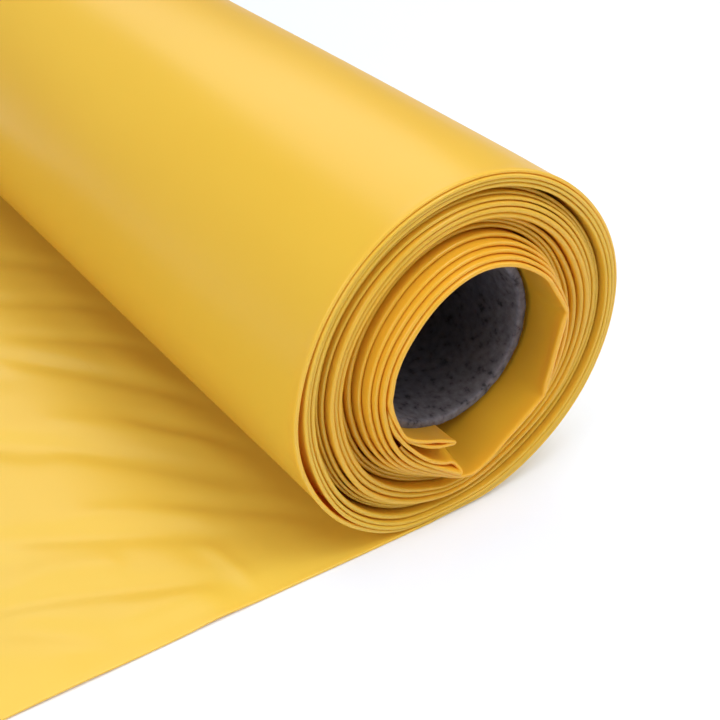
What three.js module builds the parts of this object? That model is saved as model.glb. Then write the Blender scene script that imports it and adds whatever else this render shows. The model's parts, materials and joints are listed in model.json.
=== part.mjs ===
// A roll of welding-curtain film. Yellow PVC film, folded once down its length, is wound loosely on a
// cardboard tube, and its loose end lies flat on the floor beside the roll.
//
// Millimetres, +Z up. The origin is on the floor, straight below the winding's centre, halfway along
// the roll. +Y runs along the roll, away from the film's folded edge. The loose end lies towards -X.
//
// Angles round the roll are in degrees. They start at the floor and increase towards +X, which is the
// way the film runs as it is followed inwards from its loose end.
import * as THREE from "three";

// Film. Two layers lie face to face, joined by the fold at the roll's -Y end.
const FILM = 1.7; // thickness of the folded pair
const WIDTH = 700; // of the folded film, which is the roll's length
const CLEARANCE = 0.35; // left between film that lies on film
const SEAM = 0.3; // left between solids that meet edge to edge

// Winding. The film sags towards the floor, so each face of it is further out at one angle.
const ROLL_RADIUS = 80;
const ROLL_SAG = { rise: 4.4, at: 318, spread: 65 };
const CORNER_STEP = 10; // degrees between the corners of a turn
const OUTER_TURN_END = 340; // where the outermost turn comes down on the film beneath it
const FLOOR_CONTACT = 3; // how far past the centre the film lies on the floor

// Turns that have slipped along the roll together are one group. Each face between two groups has
// its radius away from the floor, and what the sag adds to it.
const OUTER_FACE = { radius: 77.95, rise: 3.0, at: 330, spread: 55 };
const SECOND_FACE = { radius: 71.2, rise: 2.6, at: 340, spread: 80 };
const RECESSED_FACE = { radius: 58.8, rise: 7.2, at: 345, spread: 85 };
const INNER_FACE = { radius: 52.8, rise: 8.4, at: 345, spread: 85 };
const HOLE_FACE = { radius: 42.9, rise: 10, at: 345, spread: 85 };
const TURN_GROUPS = [
  { name: "film_turns_outer", outside: OUTER_FACE, inside: SECOND_FACE, slip: 0 },
  { name: "film_turns_second", outside: SECOND_FACE, inside: RECESSED_FACE, slip: 1.5 },
  { name: "film_turns_recessed", outside: RECESSED_FACE, inside: INNER_FACE, slip: 10 },
  { name: "film_turns_inner", outside: INNER_FACE, inside: HOLE_FACE, slip: -8 },
];

// The film's start, folded back and forth on itself, lies in the bottom of the winding's hole.
const LEAD_FOLD = { from: 300, to: 350, slip: -5 };

// Cardboard tube. A 3 inch bore with a 4 mm wall of three plies.
const BORE_RADIUS = 38.1;
const PLIES = [
  { name: "core_liner_ply", thickness: 0.5, color: 0x9a938a },
  { name: "core_body_ply", thickness: 2.4, color: 0x857b70 },
  { name: "core_outer_ply", thickness: 0.5, color: 0x6b5a52 },
];
const TUBE_SIDES = 48;
const TUBE_SLIP = 14; // how far the tube has slid towards +Y

// Loose end. Panels of film, each hinged to the one before it.
const PANEL_COUNT = 12;
const PANEL_LENGTH = 36;
const FIRST_HINGE_X = -33;

const plastic = () => new THREE.MeshStandardMaterial({ color: 0xf0bc34, roughness: 0.32, metalness: 0 });
const board = (color) => new THREE.MeshStandardMaterial({ color, roughness: 0.95, metalness: 0 });

const radians = THREE.MathUtils.degToRad;

// How much of a sag shows at an angle: 1 where it is deepest, 0 beyond its spread.
function sagAt(angle, { at, spread }) {
  const away = Math.abs(((angle - at + 540) % 360) - 180);
  return away < spread ? Math.cos(radians((90 * away) / spread)) ** 2 : 0;
}

// A point of the end view (x across, z up). It is never lower than `lowest`.
function endPoint(radius, angle, lowest = 0) {
  const x = radius * Math.sin(radians(angle));
  const z = ROLL_RADIUS - radius * Math.cos(radians(angle));
  return new THREE.Vector2(x, Math.max(z, lowest));
}

// A point on a face between groups of turns, moved inwards by `depth`.
function facePoint(face, angle, depth = 0) {
  const radius = face.radius + face.rise * sagAt(angle, face) - depth;
  return endPoint(radius, angle, FILM + CLEARANCE);
}

// The angles from `from` to `to`, both included, a corner step apart.
function corners(from, to) {
  const count = Math.round((to - from) / CORNER_STEP);
  return Array.from({ length: count + 1 }, (_, k) => from + k * CORNER_STEP);
}

// A solid of film: an outline in the end view, drawn out along the roll.
function filmSolid(name, outline, slip = 0) {
  const geometry = new THREE.ExtrudeGeometry(outline, { depth: WIDTH, bevelEnabled: false });
  geometry.rotateX(Math.PI / 2);
  geometry.translate(0, WIDTH / 2 + slip, 0);
  const mesh = new THREE.Mesh(geometry, plastic());
  mesh.name = name;
  return mesh;
}

// The outermost turn, in one piece with the film that lies under the roll as far as the first hinge.
function outermostTurn() {
  const face = (thickness) => corners(CORNER_STEP, OUTER_TURN_END).map((angle) => {
    const radius = ROLL_RADIUS + ROLL_SAG.rise * sagAt(angle, ROLL_SAG) - thickness;
    const afloat = angle > 270 ? FILM + CLEARANCE + thickness : 0;
    return endPoint(radius, angle, afloat);
  });
  const seam = FIRST_HINGE_X + SEAM / 2;
  const outline = [
    new THREE.Vector2(seam, 0),
    new THREE.Vector2(FLOOR_CONTACT, 0),
    ...face(0),
    ...face(FILM).reverse(),
    new THREE.Vector2(FLOOR_CONTACT, FILM),
    new THREE.Vector2(seam, FILM),
  ];
  return filmSolid("film_outer_turn", new THREE.Shape(outline));
}

// A group of turns, as the ring of film between two faces.
function turnGroup({ name, outside, inside, slip }) {
  const around = corners(0, 360 - CORNER_STEP);
  const outline = new THREE.Shape(around.map((angle) => facePoint(outside, angle, CLEARANCE / 2)));
  outline.holes.push(new THREE.Path(around.map((angle) => facePoint(inside, angle, -CLEARANCE / 2))));
  return filmSolid(name, outline, slip);
}

// The folded start, between the cardboard tube and the innermost turns.
function leadFold() {
  const around = corners(LEAD_FOLD.from, LEAD_FOLD.to);
  const outline = [
    ...around.map((angle) => facePoint(HOLE_FACE, angle, CLEARANCE)),
    ...around.map((angle) => endPoint(HOLE_FACE.radius, angle)).reverse(),
  ];
  return filmSolid("film_lead_fold", new THREE.Shape(outline), LEAD_FOLD.slip);
}

// The plies of the tube, from the bore outwards, each a ring turned about the tube's axis.
function cardboardTube() {
  const tube = new THREE.Group();
  const half = WIDTH / 2;
  let inner = BORE_RADIUS;
  for (const { name, thickness, color } of PLIES) {
    const outer = inner + thickness;
    const section = [[inner, -half], [outer, -half], [outer, half], [inner, half], [inner, -half]];
    const profile = section.map(([r, y]) => new THREE.Vector2(r, y));
    const mesh = new THREE.Mesh(new THREE.LatheGeometry(profile, TUBE_SIDES), board(color));
    mesh.name = name;
    tube.add(mesh);
    inner = outer + SEAM;
  }
  tube.position.set(0, TUBE_SLIP, ROLL_RADIUS);
  return tube;
}

// One panel of the loose end. The hinge before it is at its top edge nearest the roll.
function tailPanel(index) {
  const geometry = new THREE.BoxGeometry(PANEL_LENGTH - SEAM, WIDTH, FILM);
  const mesh = new THREE.Mesh(geometry, plastic());
  mesh.name = `tail_panel_${String(index + 1).padStart(2, "0")}`;
  mesh.position.set(FIRST_HINGE_X - (index + 0.5) * PANEL_LENGTH, 0, FILM / 2);
  return mesh;
}

const roll = new THREE.Group();
roll.name = "film_roll";
roll.add(outermostTurn());
for (const group of TURN_GROUPS) roll.add(turnGroup(group));
roll.add(leadFold());
roll.add(cardboardTube());
for (let index = 0; index < PANEL_COUNT; index += 1) roll.add(tailPanel(index));

export default roll;
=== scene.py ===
"""The looks of a roll of welding curtain film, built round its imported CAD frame.

The film is yellow PVC, folded once down its length, so it is a pair of layers with a rounded fold at
the roll's near end and two cut edges at its far end. It is wound on a cardboard tube, and its loose
end lies flat on the floor. Lengths are in millimetres until a mesh is made, angles in degrees. Angles
round the roll start at the floor, increase towards +X, and follow the film inwards.
"""
import json
import math

import bpy
import numpy as np
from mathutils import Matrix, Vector


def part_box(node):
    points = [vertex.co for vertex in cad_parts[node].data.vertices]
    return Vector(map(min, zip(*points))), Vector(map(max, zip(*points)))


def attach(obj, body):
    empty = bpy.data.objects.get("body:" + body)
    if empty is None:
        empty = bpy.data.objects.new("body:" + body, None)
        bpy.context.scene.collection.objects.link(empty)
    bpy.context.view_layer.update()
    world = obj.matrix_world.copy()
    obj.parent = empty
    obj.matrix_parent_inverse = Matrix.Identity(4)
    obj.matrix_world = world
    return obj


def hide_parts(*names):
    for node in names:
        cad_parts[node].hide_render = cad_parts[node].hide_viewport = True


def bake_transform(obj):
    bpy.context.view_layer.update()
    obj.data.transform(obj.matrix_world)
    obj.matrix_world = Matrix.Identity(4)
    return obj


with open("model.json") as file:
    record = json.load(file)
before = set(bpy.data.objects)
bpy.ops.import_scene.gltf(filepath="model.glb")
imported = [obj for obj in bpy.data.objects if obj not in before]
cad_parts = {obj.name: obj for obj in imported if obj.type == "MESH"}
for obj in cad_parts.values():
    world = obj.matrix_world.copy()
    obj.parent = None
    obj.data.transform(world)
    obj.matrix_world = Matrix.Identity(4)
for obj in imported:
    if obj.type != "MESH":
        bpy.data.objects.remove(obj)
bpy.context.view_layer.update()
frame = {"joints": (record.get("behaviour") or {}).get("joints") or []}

MM = 0.001
ROLL = 80.0  # radius of the roll, and height of its centre
PAIR = 1.2  # thickness of the folded film
WIDTH = 700.0  # of the folded film
NEAR = -350.0  # where the roll's near end is along Y
CORE = 42.1  # outer radius of the cardboard tube
BORE = 38.1  # its inner radius
TUBE_SIDES = 144
CORE_RIM = NEAR + 14.0  # the tube's near end
TURNS = 17.75  # from the floor to where the film leaves the winding for its folded start
WHOLE = 17  # turns between the outermost turn and the innermost one
START_FOLD = 0.85  # half the thickness of the fold in the film's folded start
HINGE_X = [j["pos_m"][0] / MM for j in frame["joints"] if j["type"] == "hinge"]
HINGE_PITCH = HINGE_X[0] - HINGE_X[1]
TAIL_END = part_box("tail_panel_12")[0].x / MM


# ---------------------------------------------------------------------------------------------
# The winding's shape
# ---------------------------------------------------------------------------------------------
# Radii are shares of ROLL, by angle. OUTLINE is the outermost turn without its slack, HOLE the
# innermost one. Each ends one turn further in than it starts.
OUTLINE = [(0, 1.0), (30, 0.984), (65, 0.994), (100, 1.008), (135, 0.99), (180, 1.0), (225, 1.003),
           (265, 1.004), (290, 1.016), (318, 1.054), (338, 1.045), (360, 0.98)]
HOLE = [(0, 0.697), (4, 0.671), (10, 0.643), (18, 0.603), (28, 0.577), (40, 0.571), (51, 0.576),
        (102, 0.572), (113, 0.556), (129, 0.549), (145, 0.543), (161, 0.547), (185, 0.554),
        (205, 0.544), (231, 0.535), (250, 0.546), (269, 0.556), (285, 0.557), (297, 0.564),
        (310, 0.572), (320, 0.576), (331, 0.582), (346, 0.618), (354, 0.662), (360, 0.671)]
# Corners of the innermost turn's lip, where the film has been creased.
LIP_CORNERS = [(28, 0.577), (51, 0.584), (102, 0.578), (114, 0.552), (130, 0.549)]
# The share of the winding's depth that one turn takes, by turns from the floor.
PITCH = [(0, 0.95), (3.2, 0.95), (3.6, 1.15), (4.0, 1.3), (4.4, 1.1), (4.8, 0.8), (6.4, 0.8), (7.0, 1.05),
         (9.4, 1.05), (9.9, 1.2), (10.4, 1.0), (12.2, 0.95), (12.8, 1.2), (13.4, 1.0), (18, 1.1)]
# How far each turn's fold lies inside the roll's end, by turns from the floor. Negative is outside it.
SLIP = [(0, 0), (3.4, 0.2), (3.8, 0.8), (4.1, 3.2), (4.25, 3.0), (4.5, 5.4), (4.8, 6.2), (5.0, 5.0),
        (5.25, 2.2), (5.5, 3.2), (5.8, 5.4), (6.0, 4.6), (6.25, 1.6), (6.5, 1.0), (6.8, 3.4), (7.1, 2.0),
        (7.4, 0.5), (8.5, 0.4), (8.9, 0.6), (9.75, 0.8), (10.0, 1.8), (10.25, 2.2), (10.5, 6.0),
        (10.8, 7.4), (11.05, 6.0), (11.25, 3.4), (11.5, 6.6), (11.8, 7.0), (12.05, 6.0), (12.2, 4.4),
        (12.5, 6.0), (12.8, 5.0), (13.3, 2.4), (13.8, 1.0), (14.5, -1.6), (15, -3.4), (16, -6.0),
        (17, -7.7), (17.75, -9.0)]


def smooth(points, x):
    """A smooth curve through points, read at x. Outside the points it keeps the end values."""
    px, py = np.array(points, float).T
    slope = np.gradient(py, px)
    x = np.clip(x, px[0], px[-1])
    i = np.clip(np.searchsorted(px, x, side="right") - 1, 0, len(px) - 2)
    h = px[i + 1] - px[i]
    t = (x - px[i]) / h
    return (py[i] * (1 + 2 * t) * (1 - t) ** 2 + slope[i] * h * t * (1 - t) ** 2
            + py[i + 1] * t * t * (3 - 2 * t) - slope[i + 1] * h * t * t * (1 - t))


def ease(t):
    """A smooth step from 0 at t = 0 to 1 at t = 1."""
    t = np.clip(t, 0, 1)
    return t * t * (3 - 2 * t)


def bump(x, centre, spread):
    """A smooth hill, 1 at its centre."""
    return np.exp(-(((x - centre) / spread) ** 2))


FINE_TURNS = np.linspace(0, WHOLE + 1, 1801)
FINE_DEPTHS = np.cumsum(smooth(PITCH, FINE_TURNS)) * (FINE_TURNS[1] - FINE_TURNS[0])


def depth(turn):
    """How deep a turn lies in the winding."""
    return np.interp(turn, FINE_TURNS, FINE_DEPTHS)


def creased(angle):
    """Radius of the lip where straight stretches of film run from crease to crease."""
    out = smooth(HOLE, angle)
    for (a0, r0), (a1, r1) in zip(LIP_CORNERS, LIP_CORNERS[1:]):
        inside = (angle >= a0) & (angle <= a1)
        u, v = np.radians(angle - a0), np.radians(a1 - angle)
        line = r0 * r1 * np.sin(u + v) / (r0 * np.sin(u) + r1 * np.sin(v))
        out = np.where(inside, line, out)
    return out


def floor_stack(x, z, turn):
    """Raises what would sink into the film below it, so that the bottom of the roll is flattened."""
    lowest = PAIR / 2 + 1.02 * PAIR * np.round(turn)
    over = (z - lowest) / 1.2
    soft = lowest + 1.2 * np.where(over > 20, over, np.log1p(np.exp(np.minimum(over, 20))))
    return x, np.where(z > ROLL, z, np.minimum(soft, z + 6))


def wound(turn, lip):
    """The film's middle line in the end view, at its lip (lip = 1) or round the tube (lip = 0)."""
    part = turn - np.floor(turn)
    angle = 360 * part
    outer = ROLL * smooth(OUTLINE, angle) - PAIR / 2
    hole = smooth(HOLE, angle)
    round_tube = np.maximum(hole, (CORE + PAIR / 2 + 0.25) / ROLL)
    inner = ROLL * (lip * hole + (1 - lip) * round_tube)
    share = (depth(turn) - depth(part)) / (depth(WHOLE + part) - depth(part))
    # at the right the deeper turns are packed against the hole, and the middle ones are looser
    share += 0.075 * bump(angle, 95, 42) * bump(turn, 12.3, 3.2)
    radius = outer + share * (inner - outer)
    # slack in the outermost turn, and a little unevenness in every other turn
    radius += 3.2 * bump(angle, 286, 27) * ease(1.6 - turn) * (turn < 1.6)
    uneven = np.sin(5.3 * turn + 1.1 * np.sin(2.3 * turn)) + 0.6 * np.sin(13.7 * turn + 0.4)
    radius += 0.10 * uneven * ease(turn / 2)
    # the creases of the innermost turn, fainter in the turns round it
    inwards = WHOLE + part - turn
    radius += lip * ROLL * (creased(angle) - hole) * np.exp(-1.2 * np.maximum(inwards, 0))
    a = np.radians(angle)
    return floor_stack(radius * np.sin(a), ROLL - radius * np.cos(a), turn)


def slip(turn):
    """Where the fold of each turn is along Y."""
    wander = 0.3 * np.sin(2.9 * turn) + 0.2 * np.sin(7.1 * turn + 1)
    return NEAR + smooth(SLIP, turn) + wander * ease(turn / 1.5)


def fold_size(turn):
    """Half the thickness of each turn's fold, which nearly fills the room between the turns."""
    x, z = wound(turn, 1.0)
    room = np.full(turn.shape, 9.0)
    for step in (-1, 1):
        there = (turn + step >= 0) & (turn + step <= TURNS)
        other_x, other_z = wound(np.where(there, turn + step, turn), 1.0)
        room = np.where(there, np.minimum(room, np.hypot(other_x - x, other_z - z)), room)
    return np.clip(0.47 * room, PAIR / 2, np.where(turn < 2.2, 1.0, 1.4))


# The film's start after the last turn. It is folded to a tip, back to the left wall of the hole, to a
# second tip below the first, and back to its cut edge. Each row is (angle at the lip, radius at the
# lip, angle round the tube, radius round the tube, how far its fold stands in from the last turn's).
START = [(270, 0.556, 276, 0.545, 0), (277, 0.548, 287, 0.540, 0), (284, 0.539, 298, 0.538, 0),
         (291, 0.533, 310, 0.537, 0), (297, 0.531, 322, 0.537, 0), (303, 0.515, 328, 0.537, -0.2),
         (312, 0.480, 336, 0.537, -0.4), (323, 0.444, 345, 0.537, -0.5), (332, 0.433, 351, 0.538, -0.6),
         (339, 0.437, 355, 0.540, -0.6), (338, 0.446, 354, 0.549, -0.6), (334, 0.453, 351, 0.551, -0.6),
         (328, 0.468, 346, 0.551, -0.5), (318, 0.490, 338, 0.551, -0.3), (310, 0.508, 330, 0.550, 0.2),
         (302, 0.530, 322, 0.550, 1.0), (292, 0.545, 308, 0.550, 2.0), (282, 0.549, 294, 0.551, 2.5),
         (277, 0.553, 288, 0.557, 2.2), (281, 0.560, 291, 0.563, 1.4), (290, 0.560, 300, 0.564, 0.4),
         (300, 0.552, 312, 0.564, 0), (311, 0.547, 324, 0.565, 0), (321, 0.553, 333, 0.567, 0),
         (331, 0.562, 342, 0.570, 0), (339, 0.571, 348, 0.572, 0.6), (346, 0.586, 352, 0.575, 2.2),
         (350, 0.612, 354, 0.580, 2.0), (351.5, 0.640, 355, 0.588, 0), (350, 0.645, 354, 0.592, -0.4),
         (345, 0.622, 350, 0.592, -0.4), (338, 0.600, 346, 0.590, -0.2), (331, 0.588, 342, 0.588, 0.2),
         (325, 0.584, 338, 0.586, 0.8), (318, 0.580, 332, 0.584, 1.3), (311, 0.577, 326, 0.583, 1.9),
         (304, 0.573, 318, 0.581, 2.5)]


def start_fold():
    """The folded start: its middle line at the lip and round the tube, and its fold along Y."""
    rows = np.array(START, float)
    k = np.arange(len(rows))
    fine = np.linspace(0, len(rows) - 1, 9 * len(rows))
    lip_angle, lip_radius, tube_angle, tube_radius, in_by = (smooth(np.c_[k, c], fine) for c in rows.T)
    places = []
    for degrees, share in ((lip_angle, lip_radius), (tube_angle, tube_radius)):
        angle, radius = np.radians(degrees), ROLL * share
        places.append((radius * np.sin(angle), ROLL - radius * np.cos(angle)))
    return places[0], places[1], in_by


# ---------------------------------------------------------------------------------------------
# Meshes
# ---------------------------------------------------------------------------------------------
def mesh_object(name, points, faces):
    mesh = bpy.data.meshes.new(name)
    mesh.from_pydata((np.asarray(points) * MM).tolist(), [], faces)
    mesh.validate()
    mesh.polygons.foreach_set("use_smooth", [True] * len(mesh.polygons))
    obj = bpy.data.objects.new(name, mesh)
    bpy.context.scene.collection.objects.link(obj)
    return obj


def grid_faces(rows, columns, closed=False):
    """Quads of a grid of points, row by row. closed joins the last column to the first."""
    r = np.arange(rows - 1)[:, None]
    c = np.arange(columns if closed else columns - 1)[None, :]
    a = r * columns + c
    b = r * columns + (c + 1) % columns
    return np.stack([a, b, b + columns, a + columns], -1).reshape(-1, 4).tolist()


def fold_section(stations):
    """The folded film's section along Y, from one cut edge round the fold to the other. Each row is
    (distance from the fold's nose, side from -1 to 1, 1 where the distance is in fold sizes)."""
    side = [(y, 1.0, 0) for y in stations]
    upper = [(WIDTH, 0.12, 0), (WIDTH, 0.8, 0), (WIDTH - 0.2, 1.0, 0)] + side[::-1]
    nose = [(1 - math.cos(t), math.sin(t), 1) for t in np.radians(np.arange(72, -73, -24))]
    return np.array(upper + nose + [(y, -s, n) for y, s, n in upper[::-1]])


def film_strip(name, lip_path, tube_path, nose_y, fold, stations, relief=None):
    """Folded film that follows one path at its nose and another from the tube's rim on. fold is half
    the thickness of its fold, which is thicker than the film behind it."""
    section = fold_section(stations)
    (x1, z1), (x0, z0) = lip_path, tube_path
    from_nose = np.where(section[:, 2] > 0, fold[:, None] * section[:, 0], section[:, 0])
    y = nose_y[:, None] + from_nose
    back = np.clip((y - nose_y[:, None]) / (CORE_RIM + 4 - nose_y[:, None]), 0, 1)
    x = x1[:, None] * (1 - back) + x0[:, None] * back
    z = z1[:, None] * (1 - back) + z0[:, None] * back
    nx, nz = np.gradient(z, axis=0), -np.gradient(x, axis=0)
    size = np.maximum(np.hypot(nx, nz), 1e-9)
    film_half = 0.45 * PAIR
    half = film_half + (fold[:, None] - film_half) * (1 - ease((from_nose - fold[:, None]) / 5))
    half = half * section[None, :, 1]
    if relief is not None:
        half = half + relief(np.arange(len(x1))[:, None], y) * (section[None, :, 1] > 0.5)
    points = np.stack([x + nx / size * half, y, z + nz / size * half], -1).reshape(-1, 3)
    return mesh_object(name, points, grid_faces(len(x1), len(section)))


def path_length(x, z):
    return float(np.hypot(np.diff(x), np.diff(z)).sum())


# ---------------------------------------------------------------------------------------------
# Materials
# ---------------------------------------------------------------------------------------------
def new_material(name):
    material = bpy.data.materials.new(name)
    material.use_nodes = True
    tree = material.node_tree
    return material, tree, tree.nodes["Principled BSDF"]


def add_noise(tree, scale, detail=3.0, stretch=(1, 1, 1)):
    """A noise texture in the object's own metres. Returns its value."""
    where = tree.nodes.new("ShaderNodeTexCoord")
    mapping = tree.nodes.new("ShaderNodeMapping")
    mapping.inputs["Scale"].default_value = stretch
    noise = tree.nodes.new("ShaderNodeTexNoise")
    noise.inputs["Scale"].default_value = scale
    noise.inputs["Detail"].default_value = detail
    tree.links.new(where.outputs["Object"], mapping.inputs["Vector"])
    tree.links.new(mapping.outputs["Vector"], noise.inputs["Vector"])
    return noise.outputs["Fac"]


def add_ramp(tree, value, stops):
    ramp = tree.nodes.new("ShaderNodeValToRGB")
    elements = ramp.color_ramp.elements
    while len(elements) < len(stops):
        elements.new(0.5)
    for element, (at, colour) in zip(elements, stops):
        element.position = at
        element.color = (*colour, 1) if len(colour) == 3 else (colour[0],) * 3 + (1,)
    tree.links.new(value, ramp.inputs["Fac"])
    return ramp.outputs["Color"]


def add_bump(tree, height, strength, distance):
    node = tree.nodes.new("ShaderNodeBump")
    node.inputs["Strength"].default_value = strength
    node.inputs["Distance"].default_value = distance
    tree.links.new(height, node.inputs["Height"])
    return node.outputs["Normal"]


def add_axis_distance(tree, whole):
    """Distance from the roll's axis, where 1 is this many roll radii."""
    where = tree.nodes.new("ShaderNodeTexCoord")
    mapping = tree.nodes.new("ShaderNodeMapping")
    mapping.inputs["Location"].default_value = (0, 0, -1 / whole)
    mapping.inputs["Scale"].default_value = (1 / (whole * ROLL * MM), 0, 1 / (whole * ROLL * MM))
    away = tree.nodes.new("ShaderNodeVectorMath")
    away.operation = "LENGTH"
    tree.links.new(where.outputs["Object"], mapping.inputs["Vector"])
    tree.links.new(mapping.outputs["Vector"], away.inputs[0])
    return away.outputs["Value"]


def add_depth(tree, start, whole):
    """How far along the roll a point is from `start` (in mm), where 1 is `whole` further."""
    where = tree.nodes.new("ShaderNodeTexCoord")
    mapping = tree.nodes.new("ShaderNodeMapping")
    mapping.inputs["Location"].default_value = (0, -start / whole, 0)
    mapping.inputs["Scale"].default_value = (0, 1 / (whole * MM), 0)
    parts = tree.nodes.new("ShaderNodeSeparateXYZ")
    tree.links.new(where.outputs["Object"], mapping.inputs["Vector"])
    tree.links.new(mapping.outputs["Vector"], parts.inputs[0])
    return parts.outputs["Y"]


def add_product(tree, first, second):
    node = tree.nodes.new("ShaderNodeMix")
    node.data_type = "RGBA"
    node.blend_type = "MULTIPLY"
    node.inputs["Factor"].default_value = 1.0
    tree.links.new(first, node.inputs[6])
    tree.links.new(second, node.inputs[7])
    return node.outputs[2]


def film_material():
    """Glossy film that lets some light through. Its colour carries painted shade: it is deepened to orange
    towards the roll's axis, in the middle of the winding, standing in for the orange shade among the
    turns, and is palest in the loose end."""
    material, tree, shader = new_material("pvc_film")
    # painted shade: the base colour turns deeper orange towards the roll's axis, where the winding lies in
    # shade
    painted_shade_orange = add_ramp(tree, add_axis_distance(tree, 2.0), [
        (0.34, (0.97, 0.60, 0.042)), (0.515, (0.96, 0.695, 0.072)), (0.62, (0.96, 0.755, 0.105))])
    cloudy = add_ramp(tree, add_noise(tree, 14, 4, (1, 0.45, 1)), [
        (0.3, (0.98, 0.96, 0.88)), (0.7, (1, 1, 1))])
    tree.links.new(add_product(tree, painted_shade_orange, cloudy), shader.inputs["Base Color"])
    streaks = add_noise(tree, 60, 3, (1, 0.12, 1))
    tree.links.new(add_ramp(tree, streaks, [(0.25, (0.29,)), (0.75, (0.36,))]), shader.inputs["Roughness"])
    grain = add_bump(tree, add_noise(tree, 900, 2), 0.02, 0.0003)
    tree.links.new(grain, shader.inputs["Normal"])
    shader.inputs["IOR"].default_value = 1.5
    shader.inputs["Specular IOR Level"].default_value = 0.6
    through = tree.nodes.new("ShaderNodeBsdfTranslucent")
    through.inputs["Color"].default_value = (1.0, 0.42, 0.025, 1)
    mix = tree.nodes.new("ShaderNodeMixShader")
    mix.inputs["Fac"].default_value = 0.30
    tree.links.new(shader.outputs["BSDF"], mix.inputs[1])
    tree.links.new(through.outputs["BSDF"], mix.inputs[2])
    tree.links.new(mix.outputs["Shader"], tree.nodes["Material Output"].inputs["Surface"])
    return material


def board_material():
    """Mottled grey board, with painted light and shade: paler near its near end, where light falls into
    the bore, and darker deeper in, where it lies in shade.
    """
    material, tree, shader = new_material("core_board")
    mottle = add_noise(tree, 330, 5, (1, 0.8, 1))
    fleck = add_ramp(tree, mottle, [
        (0.30, (0.032, 0.030, 0.042)), (0.42, (0.125, 0.122, 0.150)), (0.72, (0.205, 0.200, 0.240))])
    # painted light and shade: the board's colour is paler near the tube's near end and darker deeper in
    # the bore
    painted_rim_light = add_ramp(tree, add_depth(tree, CORE_RIM, 80), [
        (0.0, (1.0, 0.98, 0.95)), (0.35, (0.48, 0.48, 0.52))])
    tree.links.new(add_product(tree, fleck, painted_rim_light), shader.inputs["Base Color"])
    tree.links.new(add_bump(tree, add_noise(tree, 700, 5), 0.4, 0.0005), shader.inputs["Normal"])
    tree.links.new(add_ramp(tree, mottle, [(0.2, (0.75,)), (0.8, (0.9,))]), shader.inputs["Roughness"])
    return material


# ---------------------------------------------------------------------------------------------
# Film round the roll
# ---------------------------------------------------------------------------------------------
film = film_material()


def finish_film(obj, replaced, flat):
    obj.data.materials.append(film)
    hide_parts(*replaced)


def joined(first, second):
    """The x and z of two paths, one after the other."""
    return tuple(np.concatenate([a, b]) for a, b in zip(first, second))


def inner_turns():
    turn = np.linspace(1.0, TURNS, round((TURNS - 1) * 120))
    lip_start, tube_start, in_by = start_fold()
    lip_path = joined(wound(turn[:-4], 1.0), lip_start)
    tube_path = joined(wound(turn[:-4], 0.0), tube_start)
    nose = np.concatenate([slip(turn[:-4]), slip(turn)[-1] + in_by])
    fold = fold_size(turn[:-4])
    fold = np.concatenate([fold, fold[-1] + (START_FOLD - fold[-1]) * ease(np.arange(len(in_by)) / 24)])
    stations = [1.6, 2.4, 3.4, 4.6, 6.5, 9, 12, 15, 19, 23, 27, 40, 90, 200, 400, 600]
    obj = film_strip("film_wound_turns", lip_path, tube_path, nose, fold, stations)
    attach(obj, "roll")
    finish_film(obj, ["film_turns_outer", "film_turns_second", "film_turns_recessed",
                      "film_turns_inner", "film_lead_fold"],
                (2 * WIDTH * MM, path_length(*tube_path) * MM))


ROOT_X = HINGE_X[0] + HINGE_PITCH / 2  # where the roll's film becomes the loose end


def outermost_turn():
    turn = np.linspace(0, 1, 241)
    flat_x = np.linspace(ROOT_X, 0, 8)[:-1]

    def path(lip):
        x, z = wound(turn, lip)
        return joined((flat_x, np.linspace(PAIR / 2, z[0], 8)[:-1]), (x, z))

    def relief(step, y):
        """Shallow waves of loosely wound film."""
        angle = 1.5 * (step - len(flat_x))
        wave = (0.30 * np.sin(np.radians(2.1 * angle) + y / 70)
                + 0.22 * np.sin(np.radians(3.7 * angle) - y / 95 + 1)
                + 0.12 * np.sin(np.radians(7.3 * angle) + y / 38))
        return wave * ease((angle - 20) / 60) * ease((340 - angle) / 60) * ease((y - NEAR) / 40)

    fold = fold_size(turn)
    fold = np.concatenate([np.full(len(flat_x), fold[0]), fold])
    nose = np.concatenate([np.full(len(flat_x), NEAR), slip(turn)])
    stations = [1.4, 2.2, 3.4, 5, 7, 11, 16, 22] + list(np.arange(30, 700, 8.0))
    obj = film_strip("film_outer_turn_skin", path(1.0), path(0.0), nose, fold, stations, relief)
    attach(obj, "roll")
    finish_film(obj, ["film_outer_turn"],
                (2 * WIDTH * MM, path_length(*path(0.0)) * MM))


# ---------------------------------------------------------------------------------------------
# Loose end
# ---------------------------------------------------------------------------------------------
SEAM_LIP = 0.5  # how far each piece of the loose film reaches into the next one

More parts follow.
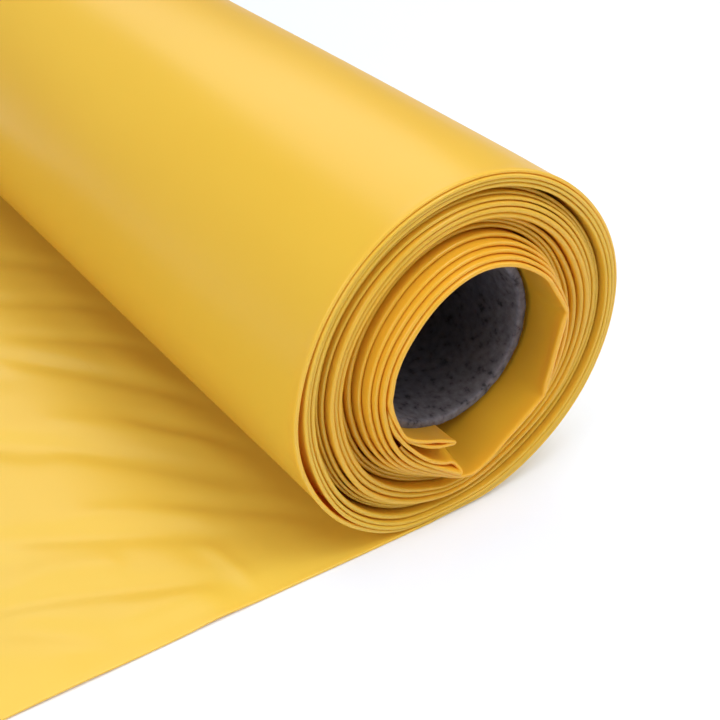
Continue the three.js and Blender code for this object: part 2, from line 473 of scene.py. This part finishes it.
# Soft folds of the loose film's upper layer: (x0, y0, x1, y1, bow, width, height). Places are in roll
# radii from the near end of the roll's line on the floor; bow is how far the fold's middle is off its
# chord. Narrow valleys fan out from the roll, and low ridges lie between them.
FOLDS = [
    (-1.35, 3.00, -0.50, 2.22, 0.02, 0.070, -1.3), (-1.50, 2.80, -0.50, 1.44, 0.02, 0.075, -1.7),
    (-1.15, 1.80, -0.52, 0.92, 0.00, 0.070, -1.5), (-2.00, 2.10, -0.90, 0.90, 0.04, 0.080, -1.9),
    (-1.35, 0.96, -0.55, 0.26, 0.01, 0.065, -1.5), (-2.25, 1.18, -1.20, 0.52, 0.02, 0.080, -1.6),
    (-2.60, 0.72, -1.34, 0.16, 0.07, 0.070, -1.6), (-2.40, 0.50, -1.86, -0.05, 0.03, 0.070, -1.2),
    (-1.25, 2.66, -0.55, 1.86, 0.02, 0.110, 0.6), (-1.55, 2.00, -0.85, 1.24, 0.02, 0.090, 0.9),
    (-1.80, 1.12, -1.20, 0.72, 0.02, 0.080, 0.9), (-2.20, 0.80, -1.75, 0.62, 0.02, 0.080, 0.9),
    (-1.33, 0.52, -1.25, 0.02, 0.02, 0.045, 0.9), (-1.95, 0.26, -1.45, 0.10, 0.03, 0.100, 0.7),
    (-1.60, 3.70, -0.50, 2.86, 0.03, 0.090, -1.4), (-1.90, 4.75, -0.50, 3.50, 0.04, 0.100, -1.5),
    (-2.90, 2.70, -1.70, 1.70, 0.05, 0.100, -1.5), (-3.60, 1.40, -2.20, 0.95, 0.05, 0.110, -1.6),
    (-3.80, 3.60, -1.60, 2.60, 0.12, 0.140, -1.6), (-4.60, 1.20, -2.90, 0.40, 0.06, 0.120, -1.5),
    (-5.00, 4.70, -2.40, 4.00, 0.10, 0.150, -1.5), (-2.60, 6.30, -0.50, 4.80, 0.10, 0.130, -1.5),
    (-4.80, 6.60, -2.50, 5.80, 0.12, 0.160, -1.4), (-3.60, 7.90, -0.60, 6.60, 0.10, 0.150, -1.4),
    (-5.40, 2.90, -4.10, 2.20, 0.05, 0.120, -1.3), (-3.30, 2.10, -2.30, 1.50, 0.04, 0.110, 0.9),
    (-3.20, 0.60, -2.40, 0.30, 0.03, 0.100, 0.9), (-4.40, 3.30, -3.20, 2.60, 0.05, 0.140, 0.9),
]


def ripple(x, y):
    """Height of the loose film's upper layer above flat, at a place in millimetres."""
    px, py = x / ROLL, (y - NEAR) / ROLL
    total = np.full(np.broadcast(px, py).shape, 1.7)
    for x0, y0, x1, y1, bow, width, height in FOLDS:
        dx, dy = x1 - x0, y1 - y0
        long = math.hypot(dx, dy)
        along = ((px - x0) * dx + (py - y0) * dy) / long**2
        across = ((py - y0) * dx - (px - x0) * dy) / long
        across = across - 4 * bow * along * (1 - along)
        ends = ease(along / 0.35 + 0.4) * ease((1 - along) / 0.25 + 0.6)
        total = total + height * ends * bump(across, 0, width)
    total = total + 0.25 * (np.sin(3.1 * px + 1.7 * py) + np.sin(1.3 * px - 2.3 * py + 2) + 2)
    soft = 0.5 * np.log1p(np.exp(np.minimum(total / 0.5, 30)))
    return soft * ease((-46 - x) / 26)


def edge_lift(x):
    """How far the fold lifts off the floor along the loose end's near edge."""
    px = x / ROLL
    return (0.9 * bump(px, -1.5, 0.16) + 0.8 * bump(px, -2.3, 0.3) + 0.7 * bump(px, -3.4, 0.35)
            + 0.6 * bump(px, -4.6, 0.4))


def tail_columns(y_from_nose):
    """The loose film is lifted at its fold, and lies down over this share of its width."""
    return ease(1 - y_from_nose / 90)


def tail_piece(number, x_from, x_to):
    """Folded film from x_from to x_to, two layers with the fold between them."""
    stations = [1.0, 2.2, 4, 7, 11, 15] + list(np.arange(19, 460, 3.5)) + list(np.arange(466, 700, 9.0))
    section = fold_section(stations)
    steps = round(abs(x_to - x_from) / 1.5)  # finer near the seams, so that none shows
    x = x_from + (x_to - x_from) * (1 - np.cos(np.linspace(0, np.pi, steps + 1)))[:, None] / 2
    last = x_to <= TAIL_END + 0.5
    half_pair = PAIR / 2
    dy = np.where(section[:, 2] > 0, half_pair * section[:, 0], section[:, 0])[None, :]
    side = section[None, :, 1]
    y = NEAR + dy + 0.25 * np.sin(x / 23.0)
    lift = edge_lift(x) * tail_columns(dy)
    rise = ripple(x, y)
    upper = ease((dy - 1.0) / 16) * ease((WIDTH - dy) / 30) * rise
    half = half_pair * (1 - 0.1 * ease((dy - 2) / 8)) * side
    z = half_pair + half + lift + np.where(side > 0.5, upper, 0)
    points = np.stack(np.broadcast_arrays(x, y, z), -1)
    edge = points[-1].copy()
    if last:  # the cut end, two edges with a slit between them
        edge[:, 2] = half_pair + lift[-1] + 0.15 * half[-1] + np.where(side[0] > 0.5, upper[-1] * 0.9, 0)
    else:  # a lip that lies inside the next piece's end, so that the seam is closed
        inwards = (np.full(len(section), -SEAM_LIP), 0.1 * (section[:, 2] > 0), -0.06 * side[0])
        edge += np.stack(inwards, -1)
    points = np.concatenate([points, edge[None]], 0)
    faces = grid_faces(points.shape[0], points.shape[1])
    obj = mesh_object(f"film_tail_{number:02d}", points.reshape(-1, 3), [f[::-1] for f in faces])
    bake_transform(obj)
    finish_film(obj, [f"tail_panel_{number:02d}"],
                (2 * WIDTH * MM, abs(x_to - x_from) * MM))


def loose_end():
    """One piece for each hinge, from the middle of one panel to the middle of the next."""
    for k, hinge in enumerate(HINGE_X):
        reach = TAIL_END if k == len(HINGE_X) - 1 else hinge - HINGE_PITCH / 2
        tail_piece(k + 1, hinge + HINGE_PITCH / 2, reach)


# ---------------------------------------------------------------------------------------------
# Cardboard tube
# ---------------------------------------------------------------------------------------------
def cardboard_tube():
    """A plain tube, a little ragged where it was cut. Lengths are from its near end."""
    bore, outside, sides = BORE, CORE, TUBE_SIDES
    length, rim = WIDTH, CORE_RIM
    angle = np.radians(np.arange(sides) * 360 / sides)[None, :]
    section = [(outside, 0.9), (outside - 0.3, 0.25), (outside - 1.0, 0),
               (bore + 1.1, 0), (bore + 0.4, 0.2), (bore, 0.8)]
    inner = [(bore, y) for y in (3, 8, 20, 50, 120, 240, 360, 480, 600, 680, 692, 697)]
    far = [(r, length - y) for r, y in section[::-1]]
    outer = [(outside, y) for y in (697, 680, 500, 300, 100, 20, 3)]
    ring = np.array(section + inner + far + outer)
    r = ring[:, :1] + 0 * angle
    y = ring[:, 1:] + 0 * angle
    near_end = bump(ring[:, 1:], 0, 1.5)
    r = r + near_end * 0.12 * np.sin(17 * angle + ring[:, :1]) * np.sin(5 * angle)
    y = y + near_end * (0.16 * np.sin(23 * angle + 2) * np.sin(7 * angle) + 0.1 * np.sin(41 * angle))
    points = np.stack([r * np.sin(angle), rim + y, ROLL - r * np.cos(angle)], -1)
    total = len(ring) * sides  # the last ring of points is joined to the first
    faces = [[v % total for v in f] for f in grid_faces(len(ring) + 1, sides, closed=True)]
    obj = mesh_object("core_tube", points.reshape(-1, 3), faces)
    obj.data.materials.append(board_material())
    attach(obj, "core")
    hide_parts("core_liner_ply", "core_body_ply", "core_outer_ply")


outermost_turn()
inner_turns()
loose_end()
cardboard_tube()


# ---------------------------------------------------------------------------------------------
# Floor, light and camera
# ---------------------------------------------------------------------------------------------
FLOOR_TOP = -0.3  # just under the film, so that the two surfaces don't meet
FLOOR_REACH = 9000
CAMERA_PLACE = (-3.6645, -4.3585, 4.7313)  # in roll radii, from the floor under the roll's near end
CAMERA_TURN = 34.52  # degrees from +Y towards +X
CAMERA_DOWN = 33.52  # degrees below level


def floor():
    corners = [(-1, -1), (1, -1), (1, 1), (-1, 1)]
    points = [(x * FLOOR_REACH, y * FLOOR_REACH, FLOOR_TOP) for x, y in corners]
    obj = mesh_object("floor", points, [[0, 1, 2, 3]])
    material, tree, shader = new_material("floor")
    shader.inputs["Roughness"].default_value = 0.7
    pale = add_ramp(tree, add_noise(tree, 3), [(0.3, (0.78, 0.83, 0.92)), (0.7, (0.80, 0.85, 0.94))])
    tree.links.new(pale, shader.inputs["Base Color"])
    shader.inputs["Emission Color"].default_value = (1, 1, 1, 1)
    shader.inputs["Emission Strength"].default_value = 0.10
    obj.data.materials.append(material)


def area_light(name, place, target, size, power):
    data = bpy.data.lights.new(name, "AREA")
    data.shape, data.size, data.size_y = "RECTANGLE", size[0], size[1]
    data.energy = power
    obj = bpy.data.objects.new(name, data)
    obj.location = place
    obj.rotation_mode = "QUATERNION"
    obj.rotation_quaternion = (Vector(target) - Vector(place)).to_track_quat("-Z", "Y")
    bpy.context.scene.collection.objects.link(obj)


def camera():
    data = bpy.data.cameras.new("camera")
    data.sensor_width, data.lens = 36.0, 67.3
    data.clip_start, data.clip_end = 0.02, 50
    obj = bpy.data.objects.new("camera", data)
    x, y, z = (share * ROLL for share in CAMERA_PLACE)
    obj.location = np.array([x, NEAR + y, z]) * MM
    turn, down = math.radians(CAMERA_TURN), math.radians(CAMERA_DOWN)
    look = Vector((math.sin(turn) * math.cos(down), math.cos(turn) * math.cos(down), -math.sin(down)))
    obj.rotation_mode = "QUATERNION"
    obj.rotation_quaternion = look.to_track_quat("-Z", "Y")
    bpy.context.scene.collection.objects.link(obj)
    bpy.context.scene.camera = obj


floor()
camera()
world = bpy.data.worlds.new("studio")
world.use_nodes = True
world.node_tree.nodes["Background"].inputs["Color"].default_value = (1, 1, 1, 1)
world.node_tree.nodes["Background"].inputs["Strength"].default_value = 0.28
bpy.context.scene.world = world
area_light("top", (-0.2, 0.1, 2.1), (0, -0.1, 0), (1.6, 1.6), 12)
area_light("overhead", (0.5, -1.0, 2.0), (0, -0.3, 0.05), (0.9, 0.9), 16)
area_light("front", (0.4, -1.7, 1.5), (0, -0.3, 0.05), (1.0, 1.0), 7)
area_light("left", (-2.0, -0.8, 1.4), (0, -0.2, 0.08), (1.2, 1.2), 22)
area_light("right", (1.9, -0.7, 1.2), (0, -0.3, 0.05), (1.0, 1.0), 9)
area_light("back", (0.8, 1.85, 1.9), (-0.1, -0.1, 0), (1.8, 1.4), 14)
bpy.context.scene.view_settings.view_transform = "Standard"
